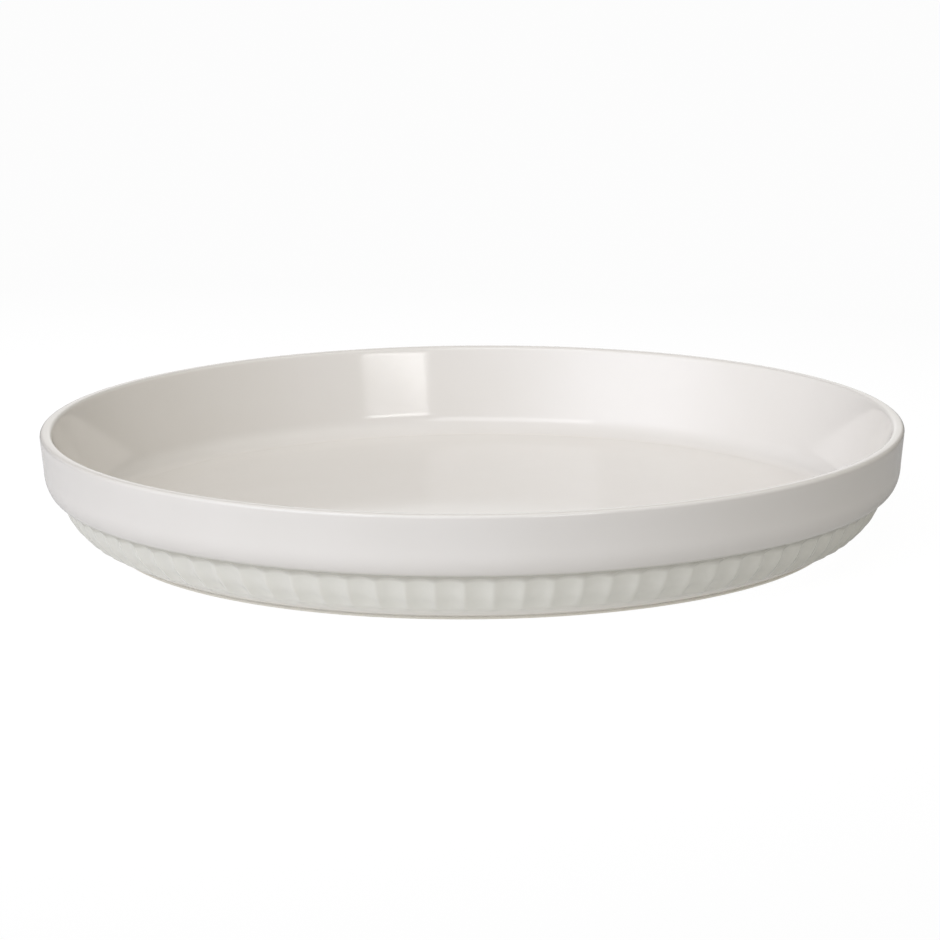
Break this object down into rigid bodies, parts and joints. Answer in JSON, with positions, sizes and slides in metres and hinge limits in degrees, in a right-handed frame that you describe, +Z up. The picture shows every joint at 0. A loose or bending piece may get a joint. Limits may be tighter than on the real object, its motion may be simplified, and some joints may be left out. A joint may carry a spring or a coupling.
{
  "type": "fluted quiche dish",
  "caption": "Round shallow glazed stoneware baking dish with a plain upright rim band, a fluted wall stepped in below it, a flat floor and a bare foot ring.",
  "frame": {"origin": "centre of the foot ring's contact face, where the dish stands on the table", "axes": "+Z up along the dish's centre line, towards the open mouth; X and Y lie in the table's plane"},
  "size_m": [0.3, 0.3, 0.0396],
  "materials": {
    "ivory_glaze": "gloss",
    "bare_stoneware": "matte"
  },
  "bodies": {
    "root": {"glazed_dish": "ivory_glaze", "bare_foot": "bare_stoneware"}
  },
  "joints": []
}
